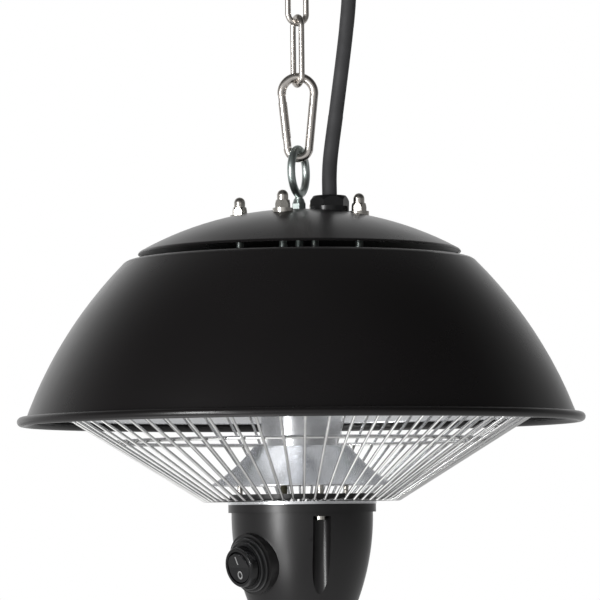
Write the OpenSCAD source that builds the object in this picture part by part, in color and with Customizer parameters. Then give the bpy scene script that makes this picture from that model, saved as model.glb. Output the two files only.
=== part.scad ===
// Electric patio heater that hangs from a ceiling hook on a link chain.
// The origin is the middle of the ceiling plate's top face, and +Z is up.
// Seen from the front, along +Y, the supply cord rises to the right of the chain
// and the round rocker switch sits low on the left.

/* [Ceiling hook] */
// Diameter of the round ceiling plate
plate_d = 58; // [50:1:80]
// Thickness of the ceiling plate
plate_t = 4; // [3:0.5:6]
// Diameter of the circle that the three plate screws stand on
plate_hole_circle_d = 42; // [38:1:44]
// Diameter of each plate screw hole
plate_hole_d = 5; // [4:0.5:6]
// Wire diameter of the hook
hook_wire_d = 6; // [5:0.5:7]
// Radius of the hook's bowl, to the middle of its wire
hook_bowl_r = 14; // [12:0.5:18]
// Radius of the bend above the bowl, to the middle of its wire
hook_neck_r = 8; // [6:0.5:10]
// Straight length of hook wire under the plate
hook_stem = 8; // [4:1:30]

/* [Chain] */
// Wire diameter of each link
link_wire_d = 4.5; // [3.5:0.1:5]
// Length of the opening in each link
link_inner = 47; // [42:0.5:56]
// Distance between the middles of a link's two legs
link_leg_gap = 15; // [14:0.5:18]
// How far the lowest link's plane is turned from face-on
chain_turn = 25; // [15:1:35]
// Play between two pieces that hang in each other
hang_play = 0.3; // [0.2:0.05:0.5]

/* [Snap hook] */
// Wire diameter of the snap hook
snap_wire_d = 6.6; // [6:0.1:7]
// Overall length of the snap hook
snap_len = 68; // [64:1:76]
// Radius of the wide end, to the middle of the wire
snap_wide_r = 12.2; // [11.5:0.1:14]
// Radius of the narrow end, to the middle of the wire
snap_narrow_r = 8; // [7.8:0.1:8.2]
// Diameter of the rivet that the gate turns on
gate_pin_d = 2.2; // [1.8:0.1:2.6]
// Height of the rivet above the start of the straight leg
gate_pin_rise = 4.2; // [4:0.1:5]
// Thickness of the flat tongues at both ends of the gate's leg
tongue_t = 2.6; // [2.2:0.1:2.8]

/* [Eye bolt] */
// Radius of the eye, to the middle of its wire
eye_r = 17; // [15.5:0.1:18]
// Wire diameter of the eye
eye_wire_d = 6; // [5.5:0.1:6]
// Shank diameter of the eye bolt
eye_shank_d = 6; // [5:0.5:7]
// Height of the middle of the eye above the cover
eye_rise = 28.9; // [28:0.1:36]
// How far the eye's plane is turned from face-on
eye_turn = 71; // [70:1:80]

/* [Cover] */
// Radius of the domed cover's curve
cover_dome_r = 246.7; // [230:0.1:280]
// Radius of the cover's edge
cover_r = 121.5; // [118:0.5:122]
// Radius of the bend at the cover's edge
cover_edge_bend = 3; // [2:0.5:4]
// Sheet thickness of the cover
cover_t = 1.2; // [0.8:0.1:1.5]
// Height of the air slot between the cover and the shade
air_slot = 5; // [4.5:0.5:10]
// Diameter of the circle that the four cover studs stand on
stud_circle_d = 93; // [86:1:98]
// Diameter of the cover studs
stud_d = 6; // [5:0.5:6.5]
// How far the first cover stud is turned from the right
stud_turn = -15; // [-25:1:-5]
// Width across the flats of the nuts on the studs and on the eye bolt
nut_across = 10; // [9.6:0.1:10.4]
// Height of the nuts on the studs
stud_nut_h = 4.8; // [4:0.1:5]
// Height of the acorn nuts up to the middle of their domes
acorn_h = 9.5; // [8.5:0.1:10.5]
// Radius of the washers under the acorn nuts
washer_r = 7.5; // [7:0.1:8]

/* [Shade] */
// Radius of the curve of the shade's wall
shade_curve_r = 323.2; // [315:0.1:332]
// Distance from the heater's axis to the middle of that curve
shade_curve_off = 97.5; // [95:0.1:100]
// Depth of the middle of that curve below the shade's flat top
shade_curve_drop = 229.3; // [226:0.1:232]
// Height of the shade from its flat top to its lower edge
shade_h = 123.5; // [114:0.5:126]
// Radius of the bend between the flat top and the wall
shade_bend = 8; // [5:0.5:12]
// Sheet thickness of the shade
shade_t = 1.2; // [0.8:0.1:1.5]
// Diameter of the rolled rim
rim_d = 7; // [6.6:0.2:8]
// How far the rim stands out from the shade's wall
rim_out = 7.1; // [6.8:0.1:8]
// Number of air holes in the shade's flat top
air_holes = 12; // [8:1:16]
// Diameter of each air hole
air_hole_d = 14; // [8:1:18]

/* [Reflector] */
// Space between the shade and the reflector bowl
reflector_gap = 2.5; // [2:0.1:4]
// Sheet thickness of the reflectors
reflector_t = 0.8; // [0.6:0.1:1]
// Depth of the reflector's flat roof below the shade's flat top
reflector_drop = 22; // [20:1:30]
// Height of the reflector's lip above the shade's lower edge
reflector_lip_rise = 7; // [7:0.2:12]

/* [Column] */
// Outer radius of the tube that carries the heater's lower half
core_r = 20; // [17:0.5:21]
// Wall thickness of that tube
core_t = 1.5; // [1:0.1:2]
// Outer radius of the bright sleeve round the tube
sleeve_r = 30.2; // [27:0.1:31]
// Depth of the sleeve's lower end below the shade's flat top
sleeve_end = 132.5; // [126:0.5:134]
// Radius of the waist under the sleeve
waist_r = 26.4; // [25:0.1:26.5]
// Height of the waist
waist_h = 7.2; // [6:0.1:10]
// Radius at the top of the flared reflector
flare_top_r = 37; // [35:0.5:40]
// Radius at the bottom of the flared reflector
flare_r = 69; // [66:0.5:72]
// Height of the flared reflector
flare_h = 29; // [26:0.5:32]
// Radius of the flared reflector's hollow curve
flare_curve_r = 113.6; // [100:0.1:160]
// Height of the open gap under the flared reflector
flare_gap = 6.3; // [5:0.1:10]

/* [Heating element] */
// Radius of the ring that the heating tube is bent to
lamp_ring_r = 100; // [90:1:108]
// Outer diameter of the heating tube
lamp_d = 13; // [10:0.5:15]
// Wall thickness of the heating tube
lamp_wall = 1.2; // [0.8:0.1:1.5]
// Depth of the heating tube below the shade's flat top
lamp_drop = 74; // [66:1:80]
// How far round the heating tube goes
lamp_sweep = 320; // [290:5:325]
// Outer diameter of the end caps
lamp_cap_d = 17; // [16:0.5:19]
// Length of the end caps
lamp_cap_len = 22; // [18:1:26]

/* [Wire guard] */
// Number of spokes in the guard
spoke_count = 60; // [42:3:63]
// Wire diameter of the spokes
spoke_d = 2.2; // [1.8:0.1:2.6]
// Wire diameter of the guard's rings
ring_wire_d = 2.8; // [2.4:0.1:3.4]
// Gap between the top of the guard and the reflector bowl
guard_gap = 14.59; // [13:0.01:22]
// Height of the guard's slanted part
guard_h = 68.6; // [64:0.2:70]
// Radius where the spokes turn level
guard_foot_r = 73; // [70:0.5:76]
// Radius of the middle ring
guard_mid_r = 139.5; // [120:0.5:150]
// How far the spokes run in over the housing
spoke_reach = 22; // [20:0.5:22]

/* [Control housing] */
// Radius of the housing's flange
flange_r = 55.3; // [54.5:0.1:58]
// Height of the housing's flange
flange_h = 6; // [5:0.5:8]
// Radius of the housing at its widest
housing_r = 53; // [52:0.1:54]
// Radius of the curve of the housing's wall
housing_curve_r = 183; // [175:1:220]
// Height of the housing
housing_h = 100; // [92:1:104]
// Radius of the bend round the housing's underside
housing_bend = 14; // [10:1:16]
// Wall thickness of the housing
housing_t = 2.6; // [2:0.1:3]
// Radius of the circle that the three long screws stand on
screw_circle_r = 48; // [47:0.1:48.5]
// How far the front screw is turned to the right of the front
screw_turn = 16; // [0:1:25]
// Width of the grooves that the screws are reached through
groove_w = 13.5; // [11:0.5:14]
// Shank diameter of the long screws
long_screw_d = 4; // [3:0.5:4.5]

/* [Switch] */
// How far the switch is turned to the left of the front
switch_turn = 48; // [40:1:56]
// Depth of the middle of the switch below the top of the housing
switch_drop = 43.5; // [42:0.5:50]
// Radius of the raised seat under the switch
seat_r = 22.8; // [21:0.1:23.5]
// Height of the raised seat
seat_h = 2.6; // [2:0.1:4]
// Radius of the switch frame's face
bezel_r = 15; // [14.5:0.1:15.5]
// Radius of the opening in the switch frame
bezel_hole_r = 12; // [11.5:0.1:12.5]
// Height of the switch frame's face above the housing
bezel_h = 14.6; // [13:0.1:16]
// Angle that the rocker turns through
rocker_travel = 14; // [10:1:18]

/* [Cord] */
// Diameter of the supply cord
cord_d = 11.2; // [10.4:0.1:11.3]
// Radius of the coil at the middle of its turns
coil_r = 57; // [56:0.5:60]
// Step from one turn of the coil to the next
coil_step = 12; // [12:0.1:12.6]
// Turns in each of the coil's two layers
coil_turns = 2; // [2:1:3]

/* [Hidden] */
$fn = 96;
// Fit between parts that touch over a curve
touch = 0.05;
// Clearance of a pin in the hole that turns on it
pin_fit = 0.05;
// Clearance of a bolt or screw in a hole
bolt_fit = 0.3;
// How much thinner a straight length of wire is than the bend it runs into
draw_fit = 0.1;
steel_zinc = "#b9bdb8";
steel_nickel = "#c9c4bc";
satin_black = "#1e1c1c";
gloss_black = "#141414";
mill_silver = "#cfd0d2";
cord_black = "#2b2b2c";

// Ceiling hook: the bend above the bowl turns by neck_a, so the bowl hangs under the stem
neck_a = acos(hook_neck_r / (hook_bowl_r + hook_neck_r));
bowl_z = -plate_t - hook_stem - (hook_neck_r + hook_bowl_r) * sin(neck_a);
hook_seat_z = bowl_z - hook_bowl_r + hook_wire_d / 2;

// Chain: each link hangs from the one above it, and rests with hang_play between the wires
link_step = link_inner - hang_play;
function link_top(k) = hook_seat_z + hang_play - k * link_step;

// Snap hook, seen as two circles joined by their outer tangents
snap_top_z = link_top(4) - link_inner + hang_play;
snap_low_z = snap_top_z - snap_len + 2 * snap_wire_d;
wide_z = snap_top_z - snap_wide_r + snap_wire_d / 2;
narrow_z = snap_low_z + snap_narrow_r - snap_wire_d / 2;
snap_span = wide_z - narrow_z;
snap_taper = asin((snap_wide_r - snap_narrow_r) / snap_span);
snap_leg = sqrt(pow(snap_span, 2) - pow(snap_wide_r - snap_narrow_r, 2));
gate_x = -snap_narrow_r * cos(snap_taper);
gate_z = narrow_z - snap_narrow_r * sin(snap_taper);
slot_play = 0.4;

// Eye bolt, and the top of the cover, which the rest of the heater is placed from
eye_top_z = snap_low_z + hang_play;
eye_z = eye_top_z - eye_r + eye_wire_d / 2;
cover_z = eye_z - eye_rise;

// Cover: the bend at its edge touches the dome from inside
cover_bend_r = cover_r - cover_edge_bend;
cover_bend_z = -cover_dome_r
    + sqrt(pow(cover_dome_r - cover_edge_bend, 2) - pow(cover_bend_r, 2));
cover_edge_z = cover_bend_z + 0.7;
function cover_surface(r) = -cover_dome_r + sqrt(pow(cover_dome_r, 2) - r * r);

// Shade, measured down from the cover's top
shade_z = cover_edge_z - air_slot;
shade_low_z = shade_z - shade_h;
shade_curve_z = shade_z - shade_curve_drop;
function shade_wall(z, inset = 0) = -shade_curve_off
    + sqrt(pow(shade_curve_r - inset, 2) - pow(z - shade_curve_z, 2));
rim_ledge_z = shade_low_z + rim_d - 0.1;
rim_r = shade_wall(rim_ledge_z) + rim_out - rim_d / 2;

// Reflector bowl
reflector_inset = shade_t + reflector_gap;
reflector_z = shade_z - reflector_drop;
lip_z = shade_low_z + reflector_lip_rise;

// Column
core_flange_r = stud_circle_d / 2 + 8;
core_flange_t = 1.5;
sleeve_t = 1;
sleeve_low_z = shade_z - sleeve_end;
waist_low_z = sleeve_low_z - waist_h;
flare_low_z = waist_low_z - flare_h;
base_t = 1.2;
base_top_z = flare_low_z + 0.7;
base_low_z = base_top_z - base_t;
pan_z = base_low_z - flare_gap;
pan_h = 3.4;
pan_r = flange_r - 1;

// Guard: the level part of each spoke is clamped between the pan and the ring
spoke_z = pan_z - pan_h - spoke_d / 2;
ring_plate_t = 2;
ring_plate_z = spoke_z - spoke_d / 2;
guard_top_z = spoke_z + guard_h;
guard_top_r = shade_wall(guard_top_z, reflector_inset + reflector_t) - guard_gap;
guard_slope = atan(guard_h / (guard_top_r - guard_foot_r));
ring_off = (spoke_d + ring_wire_d) / 2 + touch;
function spoke_at(r) = spoke_z + (r - guard_foot_r) * tan(guard_slope);

// Control housing
housing_z = ring_plate_z - ring_plate_t;
housing_low_z = housing_z - housing_h;
housing_curve_z = housing_z - 7.5;
function housing_wall(z) = housing_r - housing_curve_r
    + sqrt(pow(housing_curve_r, 2) - pow(z - housing_curve_z, 2));
groove_top_z = housing_z - flange_h - 3;
groove_floor_r = screw_circle_r - long_screw_d - 0.6;
screw_head_d = 8;
screw_head_h = 2.6;

// Switch: its axis stands square to the housing's wall
switch_z = housing_z - switch_drop;
switch_tilt = asin((housing_curve_z - switch_z) / housing_curve_r);
rocker_ball_r = bezel_hole_r - 0.5;
rocker_face = 3;
rocker_pivot_h = bezel_h - rocker_face - 0.6;
rocker_pin_d = 3;
rocker_depth = 4.5;
rocker_reach = sqrt(pow(rocker_ball_r, 2) - pow(rocker_depth, 2)) * sin(rocker_travel)
    + rocker_depth * cos(rocker_travel) + 0.5;

// Heating element
lamp_z = shade_z - lamp_drop;

// Gland, where the cord comes out of the cover
gland_x = 23;
gland_y = -8;
gland_hex = 26;
gland_h = 9.5;
gland_neck_r = 9;
gland_seat_z = cover_surface(norm([gland_x, gland_y]) - gland_hex / 2);

// Coil: it hangs behind the chain and is tied to it where its turns pass
coil_loops = 2 * coil_turns + 0.5;
coil_inner_r = coil_r - coil_step * coil_turns / 2 - coil_step / 4;
coil_x = -coil_r;
coil_y = link_leg_gap / 2 * cos(chain_turn) + link_wire_d / 2 + cord_d / 2 + 0.7;
coil_z = link_top(1) - link_inner / 2;
coil_steps = 24;
function smooth(t) = t * t * (3 - 2 * t);
function coil_radius(turn) = coil_inner_r + coil_step * abs(turn - coil_loops / 2);
function coil_layer(turn) = coil_y
    + coil_step * smooth(min(1, max(0, (turn - coil_turns) / 0.5)));
function coil_point(turn) = [coil_x + coil_radius(turn) * cos(360 * turn), coil_layer(turn),
    coil_z + coil_radius(turn) * sin(360 * turn)];
coil_n = coil_loops * coil_steps;
coil_path = [for (i = [0 : coil_n]) coil_point(i / coil_steps)];
coil_end = coil_point(coil_loops);
coil_out_r = coil_radius(0);
plug_z = coil_end[2] - cord_d;

// Route of the free cord, from the gland up to the coil, measured from the cover's top
cord_way = [[23, -8, 24], [23.7, -8, 36], [25.4, -8, 50], [28, -8, 68], [31, -8, 90], [34.4, -8, 115],
    [37, -8, 136], [39, -7.5, 157], [39.3, -5.5, 175], [37, -1.5, 192], [31.8, 4, 208],
    [24.6, 9.3, 223], [17.4, 13.4, 237]];
cord_start = [gland_x, gland_y, cover_z + 3];
cord_finish = [coil_x + coil_out_r, coil_y, coil_z - cord_d];
cord_path = concat([cord_start, cord_start + [0, 0, 10]],
    [for (p = cord_way) [p[0], p[1], p[2] + cover_z]], [cord_finish]);

// Points on a ring of n sides round the middle p, in the plane of the unit vectors u and v
function ring(p, u, v, r, n) = [for (k = [0 : n - 1])
    p + r * (cos(360 * (k + 0.5) / n) * u + sin(360 * (k + 0.5) / n) * v)];
function unit(v) = v / norm(v);
// Faces of a closed tube made of m rings of n points each, all triangles
function tube_faces(m, n) = concat(
    [for (i = [0 : m - 2]) for (k = [0 : n - 1])
        [i * n + k, i * n + (k + 1) % n, (i + 1) * n + k]],
    [for (i = [0 : m - 2]) for (k = [0 : n - 1])
        [i * n + (k + 1) % n, (i + 1) * n + (k + 1) % n, (i + 1) * n + k]],
    [for (k = [1 : n - 2]) [0, k + 1, k]],
    [for (k = [1 : n - 2]) [(m - 1) * n, (m - 1) * n + k, (m - 1) * n + k + 1]]);

// Least distance between turns of the coil, from middle to middle, less its thickness
coil_gap = min([for (i = [0 : coil_n]) for (j = [i + coil_steps / 2 : 1 : coil_n])
    norm(coil_path[i] - coil_path[j])]) - cord_d;
function path_length(p) = [for (i = 0, s = 0; i < len(p); s = s + (i + 1 < len(p)
    ? norm(p[i + 1] - p[i]) : 0), i = i + 1) s][len(p) - 1];
union() {
    echo("coil gap to itself", coil_gap);
    echo("coil length", path_length(coil_path) + 2 * cord_d);
    echo("free cord length", path_length(cord_path));
    echo("cover top height", cover_z);
    echo("rim radius", rim_r);
    echo("housing underside height", cover_z + housing_low_z);
}

// Round wire bent through an angle, in the XZ plane round the origin, starting at angle from
module bent_wire(r, d, from, sweep) {
    rotate([90, 0, 0]) rotate([0, 0, from])
        rotate_extrude(angle = sweep) translate([r, 0]) circle(d = d, $fn = 48);
}

// Hexagonal nut with a bore, its lower face on the ground
module hex_nut(across, h, bore) {
    difference() {
        cylinder(h = h, d = across / cos(30), $fn = 6);
        translate([0, 0, -1]) cylinder(h = h + 2, d = bore);
    }
}

// Half section of a bowl: a flat roof, a bend, and a wall that follows one long curve.
// The wall's curve has its middle at cr, cz, and inset makes the section that much smaller.
module bowl_half(cr, cz, r, bend, top, low, inset = 0) {
    bz = top - bend;
    lift = asin((bz - cz) / (r - bend));
    br = cr + (r - bend) * cos(lift);
    intersection() {
        translate([0, low]) square([r, top - low]);
        union() {
            intersection() {
                translate([cr, cz]) circle(r = r - inset, $fn = 360);
                union() {
                    translate([0, low]) square([2 * r, bz - low]);
                    polygon([[br, bz], [br + r, bz], [br + r * cos(lift), bz + r * sin(lift)]]);
                }
            }
            translate([br, bz]) circle(r = bend - inset, $fn = 96);
            translate([0, low]) square([br, top - inset - low]);
        }
    }
}

// Half section of a sheet bowl of the same form, t thick, with its bend a hair thicker than the sheet
module bowl_shell(cr, cz, r, bend, top, low, t) {
    bz = top - bend;
    lift = asin((bz - cz) / (r - bend));
    br = cr + (r - bend) * cos(lift);
    reach = lift + 0.05;
    translate([0, top - t]) square([br + 0.3, t]);
    intersection() {
        translate([br, bz]) difference() {
            circle(r = bend + draw_fit / 2, $fn = 96);
            circle(r = bend - t - draw_fit / 2, $fn = 96);
        }
        polygon([[br, bz], [br + 3 * bend * cos(lift), bz + 3 * bend * sin(lift)],
            [br + 3 * bend, bz + 3 * bend], [br, bz + 3 * bend]]);
    }
    intersection() {
        translate([cr, cz]) difference() {
            circle(r = r, $fn = 360);
            circle(r = r - t, $fn = 360);
        }
        translate([0, low]) square([2 * r, 2 * r]);
        polygon([[cr, cz], [cr + 2 * r, cz], [cr + 2 * r, cz + r],
            [cr + 2 * r * cos(reach), cz + 2 * r * sin(reach)]]);
    }
}

module ceiling_plate() {
    color(steel_zinc)
    difference() {
        translate([0, 0, -plate_t]) cylinder(h = plate_t, d = plate_d);
        for (a = [90, 210, 330]) rotate([0, 0, a]) translate([plate_hole_circle_d / 2, 0, 0]) {
            cylinder(h = 3 * plate_t, d = plate_hole_d, center = true);
            translate([0, 0, -plate_t - 0.01])
                cylinder(h = plate_hole_d / 2, d1 = 2 * plate_hole_d, d2 = plate_hole_d);
        }
    }
}

module ceiling_hook() {
    neck_x = hook_neck_r;
    color(steel_zinc)
    rotate([0, 0, chain_turn]) {
        translate([0, 0, -plate_t - hook_stem - 0.3])
            cylinder(h = hook_stem + 0.3, d = hook_wire_d - draw_fit, $fn = 48);
        translate([neck_x, 0, -plate_t - hook_stem])
            bent_wire(hook_neck_r, hook_wire_d, 180, neck_a);
        translate([0, 0, bowl_z]) bent_wire(hook_bowl_r, hook_wire_d, -200, 199.5 + neck_a);
        for (a = [neck_a, 160])
            translate([hook_bowl_r * cos(a), 0, bowl_z + hook_bowl_r * sin(a)])
                sphere(d = hook_wire_d + draw_fit, $fn = 48);
    }
}

// One chain link, hanging from the height of its opening's top
module chain_link(k, turn) {
    r = link_leg_gap / 2;
    top = link_top(k) + link_wire_d / 2 - r;
    low = link_top(k) - link_inner - link_wire_d / 2 + r;
    color(steel_nickel)
    rotate([0, 0, turn]) {
        translate([0, 0, top]) bent_wire(r, link_wire_d, 0, 180);
        translate([0, 0, low]) bent_wire(r, link_wire_d, 180, 180);
        for (x = [-r, r]) translate([x, 0, low - 0.3])
            cylinder(h = top - low + 0.6, d = link_wire_d - draw_fit, $fn = 48);
    }
}
module chain_link_e() { chain_link(0, chain_turn - 90); }
module chain_link_d() { chain_link(1, chain_turn); }
module chain_link_c() { chain_link(2, chain_turn - 90); }
module chain_link_a() { chain_link(3, chain_turn); }
module chain_link_b() { chain_link(4, chain_turn - 90); }

// Places its children on the gate's leg: Z runs up the leg from its lower end, X points inward
module on_gate_leg() {
    translate([gate_x, 0, gate_z]) rotate([0, -snap_taper, 0]) children();
}

module snap_hook_body() {
    d = snap_wire_d;
    color(steel_nickel) {
        translate([0, 0, wide_z]) bent_wire(snap_wide_r, d, -snap_taper, 180 + 2 * snap_taper);
        translate([0, 0, narrow_z])
            bent_wire(snap_narrow_r, d, 180 + snap_taper, 180 - 2 * snap_taper);
        mirror([1, 0, 0]) on_gate_leg() translate([0, 0, -0.3])
            cylinder(h = snap_leg + 0.6, d = d - draw_fit, $fn = 48);
        on_gate_leg() {
            // Tongue at the lower end of the leg, which the rivet passes through
            difference() {
                union() {
                    translate([-2.9, -tongue_t / 2, -0.6]) cube([5.8, tongue_t, gate_pin_rise + 0.6]);
                    translate([0, 0, gate_pin_rise]) rotate([90, 0, 0])
                        cylinder(h = tongue_t, r = 2.9, center = true);
                }
                translate([0, 0, gate_pin_rise]) rotate([90, 0, 0])
                    cylinder(h = 2 * d, d = gate_pin_d + 2 * pin_fit, center = true);
            }
            // Nose at the upper end, which drops into the gate's slot
            translate([-2.3, -tongue_t / 2, snap_leg - 5]) cube([4.6, tongue_t, 5.6]);
        }
    }
}

module snap_gate_pin() {
    color(steel_nickel) on_gate_leg()
        translate([0, 0, gate_pin_rise]) rotate([90, 0, 0])
            cylinder(h = snap_wire_d - 0.4, d = gate_pin_d, center = true, $fn = 48);
}

module snap_gate() {
    d = snap_wire_d;
    slot = tongue_t + 2 * slot_play;
    color(steel_nickel) on_gate_leg() difference() {
        union() {
            intersection() {
                cylinder(h = snap_leg - 0.7, d = d, $fn = 48);
                translate([-d, -d, gate_pin_rise]) cube([2 * d, 2 * d, snap_leg]);
            }
            intersection() {
                cylinder(h = snap_leg, d = d, $fn = 48);
                translate([0, 0, gate_pin_rise]) rotate([90, 0, 0])
                    cylinder(h = 2 * d, r = gate_pin_rise - 0.7, center = true);
            }
        }
        translate([-d, -slot / 2, -1]) cube([2 * d, slot, gate_pin_rise + 4.6]);
        translate([-d, -slot / 2, snap_leg - 5.8]) cube([2 * d, slot, 7]);
        translate([0, 0, gate_pin_rise]) rotate([90, 0, 0])
            cylinder(h = 2 * d, d = gate_pin_d + 2 * pin_fit, center = true, $fn = 48);
    }
}

module eye_bolt() {
    color(steel_zinc) {
        translate([0, 0, eye_z]) rotate([0, 0, eye_turn]) bent_wire(eye_r, eye_wire_d, 0, 360);
        translate([0, 0, cover_z + shade_z - 15])
            cylinder(h = eye_z - eye_r - cover_z - shade_z + 14, d = eye_shank_d, $fn = 48);
    }
}

// Nuts that clamp the eye bolt to the cover and to the tube flange
module eye_bolt_nuts() {
    color(steel_zinc) {
        translate([0, 0, cover_z + cover_surface(6) - cover_t - 5.25])
            hex_nut(nut_across, 5.2, eye_shank_d + 2 * touch);
        translate([0, 0, cover_z + shade_z - shade_t - core_flange_t - 5.2])
            hex_nut(nut_across, 5.2, eye_shank_d + 2 * touch);
    }
}

// Half section of the domed cover, made smaller by inset
module cover_half(inset) {
    lift = atan2(cover_bend_z + cover_dome_r, cover_bend_r);
    intersection() {
        translate([0, cover_edge_z]) square([cover_dome_r, cover_dome_r]);
        union() {
            intersection() {
                translate([0, -cover_dome_r]) circle(r = cover_dome_r - inset, $fn = 360);
                polygon([[0, -cover_dome_r], [2 * cover_dome_r * cos(lift),
                    -cover_dome_r + 2 * cover_dome_r * sin(lift)], [0, cover_dome_r]]);
            }
            translate([cover_bend_r, cover_bend_z]) circle(r = cover_edge_bend - inset, $fn = 96);
        }
    }
}

// Repeats its children at the four cover studs
module at_studs() {
    for (i = [0 : 3]) rotate([0, 0, stud_turn + 90 * i]) translate([stud_circle_d / 2, 0, 0]) children();
}

module top_cover() {
    color(satin_black)
    translate([0, 0, cover_z]) difference() {
        rotate_extrude() difference() {
            cover_half(0);
            cover_half(cover_t);
        }
        cylinder(h = 20, d = eye_shank_d + 2 * bolt_fit, center = true);
        at_studs() cylinder(h = 40, d = stud_d + 2 * bolt_fit, center = true);
        translate([gland_x, gland_y, 0]) cylinder(h = 20, r = gland_neck_r + bolt_fit, center = true);
    }
}

stud_seat_z = cover_surface(stud_circle_d / 2 - washer_r) + 0.5;
module cover_studs() {
    low = shade_z - shade_t - core_flange_t - 8;
    color(steel_zinc) translate([0, 0, cover_z]) at_studs()
        translate([0, 0, low]) cylinder(h = stud_seat_z + 6 - low, d = stud_d, $fn = 48);
}

module acorn_nuts() {
    hex_h = acorn_h - 3.5;
    dome_d = nut_across * 0.84;
    color(steel_nickel) translate([0, 0, cover_z + stud_seat_z]) at_studs() difference() {
        union() {
            intersection() {
                cylinder(h = hex_h, d = nut_across / cos(30), $fn = 6);
                translate([0, 0, -0.6])
                    cylinder(h = hex_h + 0.6, r1 = nut_across * 0.66, r2 = nut_across * 0.51);
            }
            cylinder(h = acorn_h, d = dome_d);
            translate([0, 0, acorn_h]) sphere(d = dome_d);
        }
        translate([0, 0, -1]) cylinder(h = 8, d = stud_d + 2 * touch, $fn = 48);
    }
}

// Soft washers that lie level on top and follow the domed cover below
module stud_washers() {
    color(steel_nickel) translate([0, 0, cover_z]) difference() {
        at_studs() translate([0, 0, stud_seat_z - 6]) difference() {
            cylinder(h = 6, r = washer_r);
            translate([0, 0, -1]) cylinder(h = 8, d = stud_d + 2 * bolt_fit, $fn = 48);
        }
        translate([0, 0, -cover_dome_r]) sphere(r = cover_dome_r + touch, $fn = 360);
    }
}

// Nuts under the cover and under the tube flange on each stud
module stud_nuts() {
    under_cover = cover_surface(stud_circle_d / 2 + nut_across * 0.58) - cover_t * 1.05 - stud_nut_h;
    color(steel_zinc) translate([0, 0, cover_z]) at_studs() {
        translate([0, 0, under_cover]) hex_nut(nut_across, stud_nut_h, stud_d + 2 * touch);
        translate([0, 0, shade_z - shade_t - core_flange_t - stud_nut_h])
            hex_nut(nut_across, stud_nut_h, stud_d + 2 * touch);
    }
}

module gland_body() {
    color(gloss_black) translate([0, 0, cover_z]) difference() {
        union() {
            translate([gland_x, gland_y, -16]) cylinder(h = 16 + gland_seat_z, r = gland_neck_r);
            difference() {
                translate([gland_x, gland_y, -4])
                    cylinder(h = 4 + gland_seat_z + 1.6, r = gland_hex / 2 + 1.6);
                translate([0, 0, -cover_dome_r]) sphere(r = cover_dome_r + touch, $fn = 360);
            }
            translate([gland_x, gland_y, gland_seat_z]) cylinder(h = 3 - gland_seat_z, r = gland_neck_r - 1);
        }
        translate([gland_x, gland_y, -20]) cylinder(h = 20 + 1.5, r = gland_neck_r - 4);
    }
}

// Hexagonal clamping nut, with a bevelled top that the cord comes out of
module gland_nut() {
    low = gland_seat_z + 1.6;
    color(gloss_black) translate([gland_x, gland_y, cover_z]) difference() {
        intersection() {
            translate([0, 0, low]) rotate([0, 0, 12])
                cylinder(h = gland_h - low, d = gland_hex / cos(30), $fn = 6);
            translate([0, 0, low])
                cylinder(h = gland_h - low, r1 = gland_hex / 2 + 5, r2 = gland_hex / 2 - 0.6);
        }
        translate([0, 0, low - 1]) cylinder(h = 4 - low, r = gland_neck_r - 1 + touch);
        translate([0, 0, 2]) cylinder(h = gland_h, d = cord_d + 0.4);
    }
}

module gland_locknut() {
    low = cover_surface(norm([gland_x, gland_y]) + 14) - cover_t * 1.02 - 5;
    color(gloss_black) translate([gland_x, gland_y, cover_z + low])
        hex_nut(23, 5, 2 * (gland_neck_r + touch));
}

// Free stretch of the supply cord, from inside the gland up to the coil
module cord_run() {
    n = 10;
    m = len(cord_path);
    rings = [for (i = [0 : m - 1])
        let (along = i == 0 || i == m - 1 ? [0, 0, 1]
                : unit(cord_path[i + 1] - cord_path[i - 1]),
            u = unit(cross([0, 1, 0], along)), v = cross(along, u))
        ring(cord_path[i], u, v, cord_d / 2, n)];
    color(cord_black)
        polyhedron(points = [for (r = rings) for (p = r) p], faces = tube_faces(m, n));
}

// Spare cord, wound in two layers that meet on the inside
module cord_coil() {
    n = 6;
    round_rings = [for (i = [0 : coil_n]) let (a = 360 * i / coil_steps)
        ring(coil_path[i], [cos(a), 0, sin(a)], [0, -1, 0], cord_d / 2, n)];
    first = [for (p = round_rings[0]) p - [0, 0, cord_d]];
    last = [for (p = round_rings[coil_n]) p - [0, 0, cord_d]];
    rings = concat([first], round_rings, [last]);
    color(cord_black)
        polyhedron(points = [for (r = rings) for (p = r) p], faces = tube_faces(len(rings), n));
}

// Outline with rounded corners from x0 to x1 and y0 to y1
module round_outline(x0, x1, y0, y1, r) {
    translate([x0 + r, y0]) square([x1 - x0 - 2 * r, y1 - y0]);
    translate([x0, y0 + r]) square([x1 - x0, y1 - y0 - 2 * r]);
    for (x = [x0 + r, x1 - r]) for (y = [y0 + r, y1 - r]) translate([x, y]) circle(r = r);
}

// Two ties that hold the coil's turns to the chain
module cord_ties() {
    tie_w = 4.8;
    tie_t = 1.2;
    left = coil_x + coil_inner_r * cos(14) - cord_d / 2 - 1;
    right = coil_x + coil_out_r + cord_d / 2 + 0.3;
    front = -link_leg_gap / 2 * sin(chain_turn) - link_wire_d / 2 - 0.3;
    back = coil_y + coil_step + cord_d / 2 + 0.3;
    color(gloss_black) for (s = [-1, 1]) translate([0, 0, coil_z + 8 * s - tie_w / 2]) {
        linear_extrude(tie_w) difference() {
            round_outline(left - tie_t, right + tie_t, front - tie_t, back + tie_t, 7 + tie_t);
            round_outline(left, right, front, back, 7);
        }
        translate([right + tie_t - 0.2, 6, -1]) cube([5, 7, tie_w + 2]);
    }
}

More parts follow.
